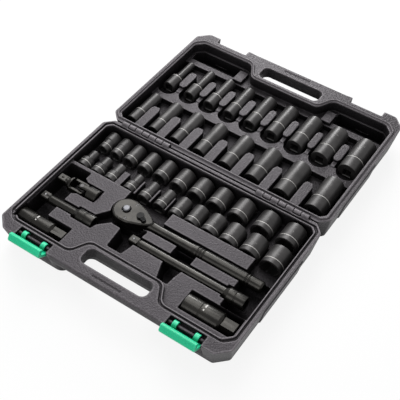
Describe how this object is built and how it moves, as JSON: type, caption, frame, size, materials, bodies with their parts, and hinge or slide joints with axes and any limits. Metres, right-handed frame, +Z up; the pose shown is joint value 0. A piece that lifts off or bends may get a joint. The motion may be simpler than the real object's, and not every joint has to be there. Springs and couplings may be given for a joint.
{
  "type": "socket wrench set in case",
  "caption": "Hinged carrying case lying open, with fitted trays of shallow and deep sockets, a ratchet, extension bars, a universal joint and spark-plug sockets.",
  "frame": {"origin": "middle of the open case's footprint, on the surface it lies on", "axes": "+X along the hinge to the right, +Y from the base's handle to the lid's handle, +Z up out of the trays"},
  "size_m": [0.304, 0.422, 0.0482],
  "materials": {
    "case_plastic": "finely textured charcoal moulding",
    "latch_plastic": "smooth green moulding",
    "black_steel": "satin black phosphate",
    "bright_steel": "bright turned steel"
  },
  "bodies": {
    "base": {"base_shell": "case_plastic", "hinge_pins": "bright_steel"},
    "lid": {"lid_shell": "case_plastic"},
    "latch_left": {"latch_left": "latch_plastic"},
    "latch_right": {"latch_right": "latch_plastic"},
    "ratchet": {"ratchet_body": "black_steel", "ratchet_cover": "black_steel", "cover_screws": "bright_steel"},
    "ratchet_drive": {"drive_gear": "bright_steel"},
    "ratchet_pawl": {"pawl": "bright_steel"},
    "ratchet_lever": {"reverse_lever": "black_steel"},
    "ratchet_button": {"release_button": "bright_steel"},
    "universal_socket_end": {"universal_socket_fork": "black_steel"},
    "universal_centre": {"universal_block": "bright_steel"},
    "universal_drive_end": {"universal_drive_fork": "black_steel"},
    "deep_socket_10mm": {"deep_socket_10mm": "black_steel"},
    "deep_socket_11_16in": {"deep_socket_11_16in": "black_steel"},
    "deep_socket_12mm": {"deep_socket_12mm": "black_steel"},
    "deep_socket_13mm": {"deep_socket_13mm": "black_steel"},
    "deep_socket_14mm": {"deep_socket_14mm": "black_steel"},
    "deep_socket_15mm": {"deep_socket_15mm": "black_steel"},
    "deep_socket_17mm": {"deep_socket_17mm": "black_steel"},
    "deep_socket_18mm": {"deep_socket_18mm": "black_steel"},
    "deep_socket_19mm": {"deep_socket_19mm": "black_steel"},
    "deep_socket_1_2in": {"deep_socket_1_2in": "black_steel"},
    "deep_socket_1_4in": {"deep_socket_1_4in": "black_steel"},
    "deep_socket_3_4in": {"deep_socket_3_4in": "black_steel"},
    "deep_socket_3_8in": {"deep_socket_3_8in": "black_steel"},
    "deep_socket_5_16in": {"deep_socket_5_16in": "black_steel"},
    "deep_socket_5_8in": {"deep_socket_5_8in": "black_steel"},
    "deep_socket_7_16in": {"deep_socket_7_16in": "black_steel"},
    "deep_socket_9_16in": {"deep_socket_9_16in": "black_steel"},
    "extension_long": {"extension_long": "black_steel"},
    "extension_short": {"extension_short": "black_steel"},
    "socket_10mm": {"socket_10mm": "black_steel"},
    "socket_11_16in": {"socket_11_16in": "black_steel"},
    "socket_11mm": {"socket_11mm": "black_steel"},
    "socket_12mm": {"socket_12mm": "black_steel"},
    "socket_13mm": {"socket_13mm": "black_steel"},
    "socket_14mm": {"socket_14mm": "black_steel"},
    "socket_15mm": {"socket_15mm": "black_steel"},
    "socket_16mm": {"socket_16mm": "black_steel"},
    "socket_17mm": {"socket_17mm": "black_steel"},
    "socket_18mm": {"socket_18mm": "black_steel"},
    "socket_19mm": {"socket_19mm": "black_steel"},
    "socket_1_2in": {"socket_1_2in": "black_steel"},
    "socket_1_4in": {"socket_1_4in": "black_steel"},
    "socket_3_4in": {"socket_3_4in": "black_steel"},
    "socket_3_8in": {"socket_3_8in": "black_steel"},
    "socket_5_16in": {"socket_5_16in": "black_steel"},
    "socket_5_8in": {"socket_5_8in": "black_steel"},
    "socket_6mm": {"socket_6mm": "black_steel"},
    "socket_7_16in": {"socket_7_16in": "black_steel"},
    "socket_7mm": {"socket_7mm": "black_steel"},
    "socket_8mm": {"socket_8mm": "black_steel"},
    "socket_9_16in": {"socket_9_16in": "black_steel"},
    "socket_9mm": {"socket_9mm": "black_steel"},
    "spark_plug_socket_16mm": {"spark_plug_socket_16mm": "black_steel"},
    "spark_plug_socket_21mm": {"spark_plug_socket_21mm": "black_steel"}
  },
  "joints": [
    {"name": "lid_hinge", "type": "hinge", "parent": "base", "child": "lid", "pos_m": [0, 0.00499, 0.0402], "axis": [1, 0, 0], "range_deg": [0, 180]},
    {"name": "left_latch_pivot", "type": "hinge", "parent": "base", "child": "latch_left", "pos_m": [-0.1, -0.19251, 0.035], "axis": [-1, 0, 0], "range_deg": [-75, 55]},
    {"name": "right_latch_pivot", "type": "hinge", "parent": "base", "child": "latch_right", "pos_m": [0.1, -0.19251, 0.035], "axis": [-1, 0, 0], "range_deg": [-75, 55]},
    {"name": "drive_spin", "type": "hinge", "parent": "ratchet", "child": "ratchet_drive", "pos_m": [-0.045, -0.10051, 0.0245], "axis": [0, 0, 1], "continuous": true},
    {"name": "reverse_lever_turn", "type": "hinge", "parent": "ratchet", "child": "ratchet_lever", "pos_m": [-0.0255, -0.10051, 0.0385], "axis": [0, 0, 1], "range_deg": [0, 50]},
    {"name": "pawl_rock", "type": "hinge", "parent": "ratchet", "child": "ratchet_pawl", "pos_m": [-0.0255, -0.10051, 0.0295], "axis": [0, 0, 1], "range_deg": [0, 3]},
    {"name": "release_button_press", "type": "slide", "parent": "ratchet", "child": "ratchet_button", "axis": [0, 0, -1], "range_m": [0, 0.0015], "stiffness_N_per_m": 400},
    {"name": "universal_swing", "type": "hinge", "parent": "universal_socket_end", "child": "universal_centre", "pos_m": [-0.107, -0.10231, 0.031], "axis": [0, 0, 1], "range_deg": [-15, 15]},
    {"name": "universal_tilt", "type": "hinge", "parent": "universal_centre", "child": "universal_drive_end", "pos_m": [-0.107, -0.10231, 0.031], "axis": [0, -1, 0], "range_deg": [-35, 0]},
    {"name": "ratchet_lift", "type": "slide", "parent": "base", "child": "ratchet", "axis": [0, 0, -1], "range_m": [-0.06, 0]},
    {"name": "universal_lift", "type": "slide", "parent": "base", "child": "universal_socket_end", "axis": [0, 0, -1], "range_m": [-0.06, 0]},
    {"name": "deep_socket_10mm_lift", "type": "slide", "parent": "lid", "child": "deep_socket_10mm", "axis": [0, 0, -1], "range_m": [-0.06, 0]},
    {"name": "deep_socket_11_16in_lift", "type": "slide", "parent": "lid", "child": "deep_socket_11_16in", "axis": [0, 0, -1], "range_m": [-0.06, 0]},
    {"name": "deep_socket_12mm_lift", "type": "slide", "parent": "lid", "child": "deep_socket_12mm", "axis": [0, 0, -1], "range_m": [-0.06, 0]},
    {"name": "deep_socket_13mm_lift", "type": "slide", "parent": "lid", "child": "deep_socket_13mm", "axis": [0, 0, -1], "range_m": [-0.06, 0]},
    {"name": "deep_socket_14mm_lift", "type": "slide", "parent": "lid", "child": "deep_socket_14mm", "axis": [0, 0, -1], "range_m": [-0.06, 0]},
    {"name": "deep_socket_15mm_lift", "type": "slide", "parent": "lid", "child": "deep_socket_15mm", "axis": [0, 0, -1], "range_m": [-0.06, 0]},
    {"name": "deep_socket_17mm_lift", "type": "slide", "parent": "lid", "child": "deep_socket_17mm", "axis": [0, 0, -1], "range_m": [-0.06, 0]},
    {"name": "deep_socket_18mm_lift", "type": "slide", "parent": "lid", "child": "deep_socket_18mm", "axis": [0, 0, -1], "range_m": [-0.06, 0]},
    {"name": "deep_socket_19mm_lift", "type": "slide", "parent": "lid", "child": "deep_socket_19mm", "axis": [0, 0, -1], "range_m": [-0.06, 0]},
    {"name": "deep_socket_1_2in_lift", "type": "slide", "parent": "lid", "child": "deep_socket_1_2in", "axis": [0, 0, -1], "range_m": [-0.06, 0]},
    {"name": "deep_socket_1_4in_lift", "type": "slide", "parent": "lid", "child": "deep_socket_1_4in", "axis": [0, 0, -1], "range_m": [-0.06, 0]},
    {"name": "deep_socket_3_4in_lift", "type": "slide", "parent": "lid", "child": "deep_socket_3_4in", "axis": [0, 0, -1], "range_m": [-0.06, 0]},
    {"name": "deep_socket_3_8in_lift", "type": "slide", "parent": "lid", "child": "deep_socket_3_8in", "axis": [0, 0, -1], "range_m": [-0.06, 0]},
    {"name": "deep_socket_5_16in_lift", "type": "slide", "parent": "lid", "child": "deep_socket_5_16in", "axis": [0, 0, -1], "range_m": [-0.06, 0]},
    {"name": "deep_socket_5_8in_lift", "type": "slide", "parent": "lid", "child": "deep_socket_5_8in", "axis": [0, 0, -1], "range_m": [-0.06, 0]},
    {"name": "deep_socket_7_16in_lift", "type": "slide", "parent": "lid", "child": "deep_socket_7_16in", "axis": [0, 0, -1], "range_m": [-0.06, 0]},
    {"name": "deep_socket_9_16in_lift", "type": "slide", "parent": "lid", "child": "deep_socket_9_16in", "axis": [0, 0, -1], "range_m": [-0.06, 0]},
    {"name": "extension_long_lift", "type": "slide", "parent": "base", "child": "extension_long", "axis": [0, 0, -1], "range_m": [-0.06, 0]},
    {"name": "extension_short_lift", "type": "slide", "parent": "base", "child": "extension_short", "axis": [0, 0, -1], "range_m": [-0.06, 0]},
    {"name": "socket_10mm_lift", "type": "slide", "parent": "base", "child": "socket_10mm", "axis": [0, 0, -1], "range_m": [-0.06, 0]},
    {"name": "socket_11_16in_lift", "type": "slide", "parent": "base", "child": "socket_11_16in", "axis": [0, 0, -1], "range_m": [-0.06, 0]},
    {"name": "socket_11mm_lift", "type": "slide", "parent": "base", "child": "socket_11mm", "axis": [0, 0, -1], "range_m": [-0.06, 0]},
    {"name": "socket_12mm_lift", "type": "slide", "parent": "base", "child": "socket_12mm", "axis": [0, 0, -1], "range_m": [-0.06, 0]},
    {"name": "socket_13mm_lift", "type": "slide", "parent": "base", "child": "socket_13mm", "axis": [0, 0, -1], "range_m": [-0.06, 0]},
    {"name": "socket_14mm_lift", "type": "slide", "parent": "base", "child": "socket_14mm", "axis": [0, 0, -1], "range_m": [-0.06, 0]},
    {"name": "socket_15mm_lift", "type": "slide", "parent": "base", "child": "socket_15mm", "axis": [0, 0, -1], "range_m": [-0.06, 0]},
    {"name": "socket_16mm_lift", "type": "slide", "parent": "base", "child": "socket_16mm", "axis": [0, 0, -1], "range_m": [-0.06, 0]},
    {"name": "socket_17mm_lift", "type": "slide", "parent": "base", "child": "socket_17mm", "axis": [0, 0, -1], "range_m": [-0.06, 0]},
    {"name": "socket_18mm_lift", "type": "slide", "parent": "base", "child": "socket_18mm", "axis": [0, 0, -1], "range_m": [-0.06, 0]},
    {"name": "socket_19mm_lift", "type": "slide", "parent": "base", "child": "socket_19mm", "axis": [0, 0, -1], "range_m": [-0.06, 0]},
    {"name": "socket_1_2in_lift", "type": "slide", "parent": "base", "child": "socket_1_2in", "axis": [0, 0, -1], "range_m": [-0.06, 0]},
    {"name": "socket_1_4in_lift", "type": "slide", "parent": "base", "child": "socket_1_4in", "axis": [0, 0, -1], "range_m": [-0.06, 0]},
    {"name": "socket_3_4in_lift", "type": "slide", "parent": "base", "child": "socket_3_4in", "axis": [0, 0, -1], "range_m": [-0.06, 0]},
    {"name": "socket_3_8in_lift", "type": "slide", "parent": "base", "child": "socket_3_8in", "axis": [0, 0, -1], "range_m": [-0.06, 0]},
    {"name": "socket_5_16in_lift", "type": "slide", "parent": "base", "child": "socket_5_16in", "axis": [0, 0, -1], "range_m": [-0.06, 0]},
    {"name": "socket_5_8in_lift", "type": "slide", "parent": "base", "child": "socket_5_8in", "axis": [0, 0, -1], "range_m": [-0.06, 0]},
    {"name": "socket_6mm_lift", "type": "slide", "parent": "base", "child": "socket_6mm", "axis": [0, 0, -1], "range_m": [-0.06, 0]},
    {"name": "socket_7_16in_lift", "type": "slide", "parent": "base", "child": "socket_7_16in", "axis": [0, 0, -1], "range_m": [-0.06, 0]},
    {"name": "socket_7mm_lift", "type": "slide", "parent": "base", "child": "socket_7mm", "axis": [0, 0, -1], "range_m": [-0.06, 0]},
    {"name": "socket_8mm_lift", "type": "slide", "parent": "base", "child": "socket_8mm", "axis": [0, 0, -1], "range_m": [-0.06, 0]},
    {"name": "socket_9_16in_lift", "type": "slide", "parent": "base", "child": "socket_9_16in", "axis": [0, 0, -1], "range_m": [-0.06, 0]},
    {"name": "socket_9mm_lift", "type": "slide", "parent": "base", "child": "socket_9mm", "axis": [0, 0, -1], "range_m": [-0.06, 0]},
    {"name": "spark_plug_socket_16mm_lift", "type": "slide", "parent": "base", "child": "spark_plug_socket_16mm", "axis": [0, 0, -1], "range_m": [-0.06, 0]},
    {"name": "spark_plug_socket_21mm_lift", "type": "slide", "parent": "base", "child": "spark_plug_socket_21mm", "axis": [0, 0, -1], "range_m": [-0.06, 0]}
  ],
  "couplings": [
    {"joint": "pawl_rock", "follows": "reverse_lever_turn", "ratio": 0.06}
  ]
}
